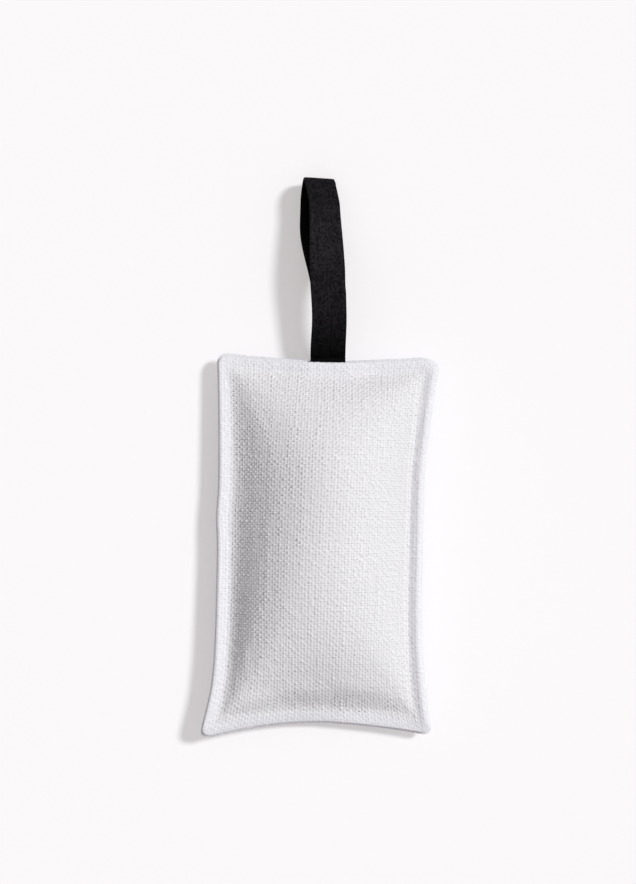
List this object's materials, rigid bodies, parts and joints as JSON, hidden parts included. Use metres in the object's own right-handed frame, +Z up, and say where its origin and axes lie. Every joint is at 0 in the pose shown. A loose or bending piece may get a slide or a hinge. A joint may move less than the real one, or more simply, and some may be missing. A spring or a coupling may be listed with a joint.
{
  "type": "scented sachet",
  "caption": "Padded rectangular linen pouch of dried flowers with a turned, topstitched edge and a folded woven-tape hanging loop.",
  "frame": {"origin": "middle of the flat face that the pouch rests on", "axes": "+Y along the pouch towards the hanging loop, +Z up through the front panel, +X to the right as seen from the front"},
  "size_m": [0.0996, 0.239, 0.0337],
  "materials": {
    "linen": "coarse plain-weave white linen",
    "muslin": "fine unbleached muslin",
    "dried_flowers": "loose dried flower heads",
    "thread": "white spun thread",
    "tape": "black woven tape, matt"
  },
  "bodies": {
    "pouch": {"front_panel": "linen", "back_panel": "linen", "inner_pouch_front": "muslin", "inner_pouch_back": "muslin", "flower_filling": "dried_flowers", "edge_seam_thread": "thread", "topstitch_needle_thread": "thread", "topstitch_bobbin_thread": "thread", "loop_tail_front": "tape", "loop_tail_back": "tape"},
    "loop": {"hanging_loop": "tape"}
  },
  "joints": [
    {"name": "loop_swing", "type": "hinge", "parent": "pouch", "child": "loop", "pos_m": [0.0037, 0.0808, 0.01195], "axis": [1, 0, 0], "range_deg": [-145, 70]}
  ]
}
